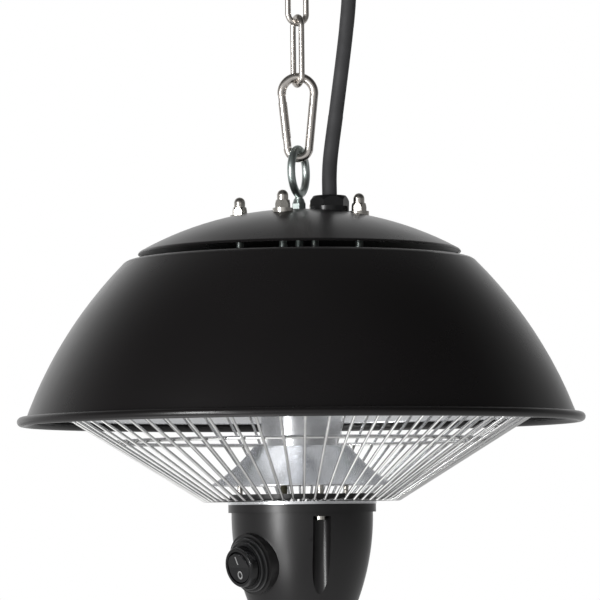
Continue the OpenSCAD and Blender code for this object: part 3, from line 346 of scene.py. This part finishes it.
def piece_from_form(name, form, material):
    """Makes a finished form a piece of one material."""
    mesh = bpy.data.meshes.new(name)
    form.to_mesh(mesh)
    form.free()
    mesh.materials.append(material)
    piece = bpy.data.objects.new(name, mesh)
    scene.collection.objects.link(piece)
    return piece


give("eye_bolt", zinc)
give("eye_bolt_nuts", zinc)
nut_form = bmesh.new()
bmesh.ops.create_circle(nut_form, cap_ends=True, segments=6, radius=EYE_NUT_ACROSS / math.sqrt(3),
                        matrix=Matrix.Translation((0, 0, COVER_TOP - EYE_NUT_SUNK)))
nut_top = bmesh.ops.extrude_face_region(nut_form, geom=nut_form.faces[:])["geom"]
bmesh.ops.translate(nut_form, vec=(0, 0, EYE_NUT_HIGH),
                    verts=[part for part in nut_top if isinstance(part, bmesh.types.BMVert)])
bmesh.ops.bevel(nut_form, geom=nut_form.edges[:], affect="EDGES", offset=EYE_NUT_EDGE, segments=2,
                profile=0.5, material=-1)
bmesh.ops.create_cone(nut_form, cap_ends=True, segments=48, radius1=EYE_SHOULDER_FOOT,
                      radius2=EYE_SHOULDER_TOP, depth=EYE_SHOULDER_HIGH,
                      matrix=Matrix.Translation((0, 0, COVER_TOP + EYE_NUT_HIGH + EYE_SHOULDER_HIGH / 2)))
bmesh.ops.recalc_face_normals(nut_form, faces=nut_form.faces)
eye_top_nut = piece_from_form("eye_bolt_top_nut", nut_form, zinc)
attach(eye_top_nut, "heater")

# Top cover and shade: spun mild steel, stoved in satin black powder coat
# with a fine orange-peel skin; the shade's rim is rolled outwards
def coat_finish(name, colour, roughness, peel, depth):
    """Satin powder coat or spark-eroded plastic: black with an even, fine skin."""
    material, shader = base_finish(name, light=[c * 1.1 for c in colour], dark=[c * 0.9 for c in colour],
                                   smooth=roughness - 0.02, rough=roughness + 0.04,
                                   patch_scale=14.0, grain=peel, depth=depth)
    shader.inputs["Specular IOR Level"].default_value = 0.44
    return material


satin_coat = coat_finish("satin_black_coat", (0.0064, 0.0056, 0.0058), roughness=0.28, peel=700.0, depth=0.12)
give("top_cover", satin_coat)
give("shade", satin_coat)

# Studs, acorn nuts and washers: four zinc-plated steel studs come up through the cover;
# a nickel-plated brass acorn nut on a washer closes each one, and plain nuts hold it from below
nickel = plated_finish("nickel_plate", light=(0.74, 0.71, 0.66), dark=(0.56, 0.54, 0.50),
                       smooth=0.18, rough=0.32, patch_scale=150.0, grain=1100.0, depth=0.12)
give("acorn_nuts", nickel)
give("stud_washers", nickel)
give("cover_studs", zinc)
give("stud_nuts", zinc)

# Cable gland: moulded black nylon body, whose domed nut clamps the cord
# where it comes out of the cover; a locknut inside the cover holds the gland in its hole
gland_nylon = rubber_finish("gland_nylon", (0.006, 0.006, 0.0065), roughness=0.22, grain=1500.0)
for name in ("gland_body", "gland_nut", "gland_locknut"):
    give(name, gland_nylon)

# Reflectors and column: a bowl under the shade, a tube and a bright sleeve down its middle,
# a waist collar, a flared foot and the flat ring at its base, all of spun aluminium
# polished on the lathe, so fine rings run round them
def lathe_effect():
    """Fine rings at equal distances from the heater's axis, as a height and a mask."""
    takes = [("Place", "NodeSocketVector", None), ("Ring Scale", "NodeSocketFloat", 900.0)]
    gives = [("Height", "NodeSocketFloat"), ("Mask", "NodeSocketFloat")]
    effect, come, go = new_effect("lathe_rings", takes, gives)
    parts = effect.nodes.new("ShaderNodeSeparateXYZ")
    across = effect.nodes.new("ShaderNodeCombineXYZ")
    radius = effect.nodes.new("ShaderNodeVectorMath")
    radius.operation = "LENGTH"
    ring_place = effect.nodes.new("ShaderNodeCombineXYZ")
    fine_rings = effect.nodes.new("ShaderNodeTexNoise")
    fine_rings.inputs["Detail"].default_value = 3.0
    wide_rings = effect.nodes.new("ShaderNodeTexNoise")
    wide_rings.inputs["Scale"].default_value = 130.0
    effect.links.new(come.outputs["Place"], parts.inputs["Vector"])
    effect.links.new(parts.outputs["X"], across.inputs["X"])
    effect.links.new(parts.outputs["Y"], across.inputs["Y"])
    effect.links.new(across.outputs["Vector"], radius.inputs[0])
    effect.links.new(radius.outputs["Value"], ring_place.inputs["X"])
    effect.links.new(parts.outputs["Z"], ring_place.inputs["Z"])
    effect.links.new(ring_place.outputs["Vector"], fine_rings.inputs["Vector"])
    effect.links.new(ring_place.outputs["Vector"], wide_rings.inputs["Vector"])
    effect.links.new(come.outputs["Ring Scale"], fine_rings.inputs["Scale"])
    effect.links.new(fine_rings.outputs["Fac"], go.inputs["Height"])
    effect.links.new(wide_rings.outputs["Fac"], go.inputs["Mask"])
    return effect


lathe_rings = lathe_effect()


def turned_finish(name, light, dark, smooth, rough, rings):
    """Metal polished on the lathe: its gloss varies in wide rings, with fine rings as relief."""
    material, shader = base_finish(name, light, dark, smooth, rough,
                                   patch_scale=20.0, grain=600.0, depth=0.05)
    shader.inputs["Metallic"].default_value = 1.0
    nodes = material.node_tree.nodes
    links = material.node_tree.links
    place = nodes.new("ShaderNodeTexCoord")
    turned = nodes.new("ShaderNodeGroup")
    turned.node_tree = lathe_rings
    turned.inputs["Ring Scale"].default_value = rings
    dull = nodes.new("ShaderNodeMapRange")
    dull.inputs["To Min"].default_value = smooth
    dull.inputs["To Max"].default_value = rough
    bump = nodes.new("ShaderNodeBump")
    bump.inputs["Strength"].default_value = 0.25
    bump.inputs["Distance"].default_value = 0.00008
    links.new(place.outputs["Object"], turned.inputs["Place"])
    links.new(turned.outputs["Mask"], dull.inputs["Value"])
    links.new(dull.outputs["Result"], shader.inputs["Roughness"])
    links.new(turned.outputs["Height"], bump.inputs["Height"])
    links.new(bump.outputs["Normal"], shader.inputs["Normal"])
    return material


spun_aluminium = turned_finish("spun_aluminium", light=(0.88, 0.89, 0.91), dark=(0.80, 0.81, 0.83),
                               smooth=0.16, rough=0.32, rings=900.0)
for name in ("reflector_bowl", "core_tube", "bright_sleeve", "waist_collar", "flared_reflector",
             "flare_base", "base_ring"):
    give(name, spun_aluminium)

# Heating element: a clear quartz tube bent to a ring round a coiled resistance wire,
# its ends in ceramic caps, hung from the reflector by sprung sheet clips;
# the leads cross the open gap in woven sleeves
LAMP_RING = 0.100
LAMP_LEVEL = COVER_TOP - 0.112044
LAMP_SWEEP = math.radians(316)
WIRE_COIL = 0.0030
WIRE_THICK = 0.0007
WIRE_SIDES = 5
WIRE_TURNS = 150
STEPS_OF_TURN = 10

wire_form = bmesh.new()
bmesh.ops.create_circle(wire_form, segments=WIRE_SIDES, radius=WIRE_THICK / 2,
                        matrix=Matrix.Translation((0, WIRE_COIL, 0)))
wire_pitch = LAMP_RING * LAMP_SWEEP / WIRE_TURNS
bmesh.ops.spin(wire_form, geom=wire_form.verts[:] + wire_form.edges[:], cent=(0, 0, 0), axis=(1, 0, 0),
               dvec=(wire_pitch / STEPS_OF_TURN, 0, 0), angle=2 * math.pi * WIRE_TURNS,
               steps=STEPS_OF_TURN * WIRE_TURNS)
# The straight winding is laid round the ring, from one end of the tube to the other
for spot in wire_form.verts:
    angle = math.pi / 2 + (2 * math.pi - LAMP_SWEEP) / 2 + spot.co.x / LAMP_RING
    reach = LAMP_RING + spot.co.y
    spot.co = (reach * math.cos(angle), reach * math.sin(angle), LAMP_LEVEL + spot.co.z)
bmesh.ops.recalc_face_normals(wire_form, faces=wire_form.faces)
resistance_wire = plated_finish("resistance_wire", light=(0.33, 0.30, 0.28), dark=(0.22, 0.20, 0.19),
                                smooth=0.35, rough=0.55, patch_scale=300.0, grain=2000.0, depth=0.1)
heating_wire = piece_from_form("heating_wire", wire_form, resistance_wire)
for face in heating_wire.data.polygons:
    face.use_smooth = True
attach(heating_wire, "heater")

quartz = bpy.data.materials.new("quartz_glass")
quartz.use_nodes = True
quartz_nodes = quartz.node_tree.nodes
quartz_shader = quartz_nodes["Principled BSDF"]
quartz_shader.inputs["Base Color"].default_value = (0.97, 0.97, 0.96, 1)
quartz_shader.inputs["IOR"].default_value = 1.46
quartz_shader.inputs["Transmission Weight"].default_value = 1.0
quartz_place = quartz_nodes.new("ShaderNodeTexCoord")
quartz_haze = quartz_nodes.new("ShaderNodeGroup")
quartz_haze.node_tree = uneven_patches
quartz_gloss = quartz_nodes.new("ShaderNodeMapRange")
quartz_gloss.inputs["To Min"].default_value = 0.02
quartz_gloss.inputs["To Max"].default_value = 0.08
quartz.node_tree.links.new(quartz_place.outputs["Object"], quartz_haze.inputs["Place"])
quartz.node_tree.links.new(quartz_haze.outputs["Mask"], quartz_gloss.inputs["Value"])
quartz.node_tree.links.new(quartz_gloss.outputs["Result"], quartz_shader.inputs["Roughness"])
give("heating_tube", quartz)
give("lead_sleeves", rubber_finish("woven_sleeve", (0.16, 0.15, 0.10), roughness=0.8, grain=2200.0))
give("tube_caps", rubber_finish("ceramic", (0.78, 0.75, 0.68), roughness=0.6, grain=900.0))
give("tube_clips", zinc)

# Wire guard: steel spokes, each bent once, on two rings of thicker wire, all bright chromed;
# the top ring lies in four sheet hooks that are spot-welded to the reflector bowl
chromed_wire = plated_finish("chromed_wire", light=(0.72, 0.72, 0.71), dark=(0.56, 0.56, 0.56),
                             smooth=0.12, rough=0.24, patch_scale=60.0, grain=1400.0, depth=0.12)
for name in ("guard_spokes", "guard_rings", "guard_hooks"):
    give(name, chromed_wire)

# Pan over the housing: pressed sheet steel with a dark heat-proof coat;
# the level ends of the spokes are clamped between it and the bright base ring
give("heat_pan", coat_finish("heat_proof_coat", (0.010, 0.0098, 0.010), roughness=0.4, peel=900.0, depth=0.2))

# Control housing: injection-moulded black plastic with a satin spark-eroded skin,
# held by three long nickel-plated screws that lie open in its grooves
housing_plastic = coat_finish("housing_plastic", (0.0085, 0.0080, 0.0084), roughness=0.32, peel=1300.0,
                              depth=0.14)
give("control_housing", housing_plastic)
give("housing_screws", nickel)

# Round rocker switch: glossy nylon frame and rocker in a soft stepped collar;
# the rocker carries the usual on and off marks, printed in white
# Where the switch stands on the housing's slanted wall
SWITCH_TURN = math.radians(-138)
SWITCH_TILT = math.radians(90 + 11.345)
SWITCH_OUT = 0.049424
SWITCH_LEVEL = COVER_TOP - 0.26465
# One mark lies on each half of the rocker; at rest the half with the off mark is pressed in
ROCKER_FACE = 0.014
ROCKER_SLOPE = math.radians(14)
MARK_AWAY = 0.0056
MARK_WIDE = 0.0011
PRINT_THICK = 0.00012
ON_TALL = 0.0066
ON_CORNER = MARK_WIDE * 0.4
OFF_RADIUS = 0.0022
OFF_HALF_WIDE = MARK_WIDE * 0.45
OFF_STEPS = 40
OFF_TALL = 1.15
OFF_NARROW = 0.95

switch_nylon = rubber_finish("switch_nylon", (0.006, 0.006, 0.0065), roughness=0.2, grain=1200.0)
collar_rubber = rubber_finish("switch_collar_rubber", (0.010, 0.010, 0.0105), roughness=0.32, grain=1300.0)
give("switch_collar", collar_rubber)
give("switch_bezel", switch_nylon)
give("switch_rocker", switch_nylon)
give("switch_body", housing_plastic)

print_white = rubber_finish("mark_paint", (0.22, 0.22, 0.22), roughness=0.5, grain=3000.0)
switch_frame = (Matrix.Rotation(SWITCH_TURN, 4, "Z") @ Matrix.Translation((SWITCH_OUT, 0, SWITCH_LEVEL))
                @ Matrix.Rotation(SWITCH_TILT, 4, "Y"))


def printed_mark(name, form, place):
    """Puts a printed mark on the rocker's face."""
    bmesh.ops.recalc_face_normals(form, faces=form.faces)
    bmesh.ops.transform(form, matrix=switch_frame @ place, verts=form.verts)
    mark = piece_from_form(name, form, print_white)
    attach(mark, "rocker")


on_form = bmesh.new()
bmesh.ops.create_cube(on_form, size=1.0, matrix=Matrix.Diagonal((ON_TALL, MARK_WIDE, PRINT_THICK, 1)))
on_corners = [edge for edge in on_form.edges if edge.verts[0].co.z * edge.verts[1].co.z < 0]
bmesh.ops.bevel(on_form, geom=on_corners, affect="EDGES", offset=ON_CORNER, segments=4, profile=0.5,
                material=-1)
printed_mark("on_mark", on_form, Matrix.Translation((0, 0, ROCKER_FACE))
             @ Matrix.Rotation(ROCKER_SLOPE, 4, "Y") @ Matrix.Translation((-MARK_AWAY, 0, 0)))
off_form = bmesh.new()
off_start = [off_form.verts.new((OFF_RADIUS + OFF_HALF_WIDE * side, 0, PRINT_THICK / 2 * up))
             for side, up in ((-1, -1), (1, -1), (1, 1), (-1, 1))]
off_edges = [off_form.edges.new((off_start[i], off_start[(i + 1) % 4])) for i in range(4)]
bmesh.ops.spin(off_form, geom=off_start + off_edges, cent=(0, 0, 0), axis=(0, 0, 1), dvec=(0, 0, 0),
               angle=2 * math.pi, steps=OFF_STEPS, use_merge=True)
bmesh.ops.scale(off_form, vec=(OFF_TALL, OFF_NARROW, 1), verts=off_form.verts)
printed_mark("off_mark", off_form, Matrix.Translation((MARK_AWAY, 0, ROCKER_FACE)))

# Studio: a pale floor two and a half metres below the ceiling and plain white surroundings, dimmer
# in front, overhead and at the sides where black paint mirrors them, with soft boxes at the front
# left, low and below
FLOOR_LEVEL = -2.5
FLOOR_RADIUS = 14.0
FLOOR_GLOW = 0.42
PLAIN_LEVEL = 0.55
HEATER_MIDDLE = Vector((0.0, 0.0, -0.5))


def direct_or_link(tree, socket, value):
    """Sets a socket to a number, or feeds it from another node's output."""
    if isinstance(value, float):
        socket.default_value = value
    else:
        tree.links.new(value, socket)


def node_math(tree, operation, first, second):
    """One sum in a node tree."""
    node = tree.nodes.new("ShaderNodeMath")
    node.operation = operation
    direct_or_link(tree, node.inputs[0], first)
    direct_or_link(tree, node.inputs[1], second)
    return node.outputs["Value"]


def soft_ramp(tree, value, low, high, start, end):
    """Runs softly from start to end while the value goes from low to high."""
    node = tree.nodes.new("ShaderNodeMapRange")
    node.interpolation_type = "SMOOTHSTEP"
    tree.links.new(value, node.inputs["Value"])
    node.inputs["From Min"].default_value = low
    node.inputs["From Max"].default_value = high
    direct_or_link(tree, node.inputs["To Min"], start)
    direct_or_link(tree, node.inputs["To Max"], end)
    return node.outputs["Result"]


def soft_box(name, place, width, height, power):
    """A rectangular lamp that faces the heater."""
    light = bpy.data.lights.new(name, "AREA")
    light.shape = "RECTANGLE"
    light.size = width
    light.size_y = height
    light.energy = power
    lamp = bpy.data.objects.new(name, light)
    scene.collection.objects.link(lamp)
    lamp.matrix_world = facing(Vector(place), HEATER_MIDDLE)


floor_form = bmesh.new()
bmesh.ops.create_circle(floor_form, cap_ends=True, segments=96, radius=FLOOR_RADIUS,
                        matrix=Matrix.Translation((0, 0, FLOOR_LEVEL)))
floor_paint = bpy.data.materials.new("floor_paint")
floor_paint.use_nodes = True
floor_tree = floor_paint.node_tree
floor_shader = floor_tree.nodes["Principled BSDF"]
floor_shader.inputs["Base Color"].default_value = (0.86, 0.86, 0.86, 1)
floor_shader.inputs["Roughness"].default_value = 0.8
floor_shader.inputs["Emission Color"].default_value = (1, 1, 1, 1)
floor_path = floor_tree.nodes.new("ShaderNodeLightPath")
floor_seen = node_math(floor_tree, "MAXIMUM", floor_path.outputs["Is Camera Ray"],
                       floor_path.outputs["Is Transmission Ray"])
floor_tree.links.new(node_math(floor_tree, "MULTIPLY", floor_seen, FLOOR_GLOW),
                     floor_shader.inputs["Emission Strength"])
studio_floor = piece_from_form("studio_floor", floor_form, floor_paint)

world = bpy.data.worlds.new("studio_air")
scene.world = world
world.use_nodes = True
air = world.node_tree
heading = air.nodes.new("ShaderNodeTexCoord")
parts = air.nodes.new("ShaderNodeSeparateXYZ")
air.links.new(heading.outputs["Generated"], parts.inputs["Vector"])
sideways = parts.outputs["X"]
backwards = parts.outputs["Y"]
upwards = parts.outputs["Z"]
front_level = soft_ramp(air, upwards, low=-0.10, high=0.45, start=0.75, end=0.20)
in_front = soft_ramp(air, backwards, low=0.0, high=0.8, start=front_level, end=1.0)
overhead = soft_ramp(air, upwards, low=0.25, high=0.75, start=1.0, end=0.35)
at_left = soft_ramp(air, sideways, low=-0.8, high=-0.4, start=0.55, end=1.0)
at_right = soft_ramp(air, sideways, low=0.0, high=0.7, start=1.0, end=0.3)
mirrored = node_math(air, "MULTIPLY", node_math(air, "MULTIPLY", overhead, in_front),
                     node_math(air, "MULTIPLY", at_left, at_right))
# The camera sees plain white, and diffuse light is nowhere weaker than one plain level
air_path = air.nodes.new("ShaderNodeLightPath")
plain_light = node_math(air, "MULTIPLY", air_path.outputs["Is Diffuse Ray"], PLAIN_LEVEL)
seen = node_math(air, "MAXIMUM", air_path.outputs["Is Camera Ray"],
                 node_math(air, "MAXIMUM", mirrored, plain_light))
air.nodes["Background"].inputs["Color"].default_value = (1, 1, 1, 1)
air.links.new(seen, air.nodes["Background"].inputs["Strength"])

soft_box("soft_box_front", (-1.45, -1.75, -0.45), width=0.4, height=1.1, power=38)
soft_box("soft_box_low", (-1.1, -1.8, -1.4), width=0.5, height=0.5, power=6)
soft_box("soft_box_under", (-0.5, 0.0, -2.4), width=1.5, height=1.8, power=11)
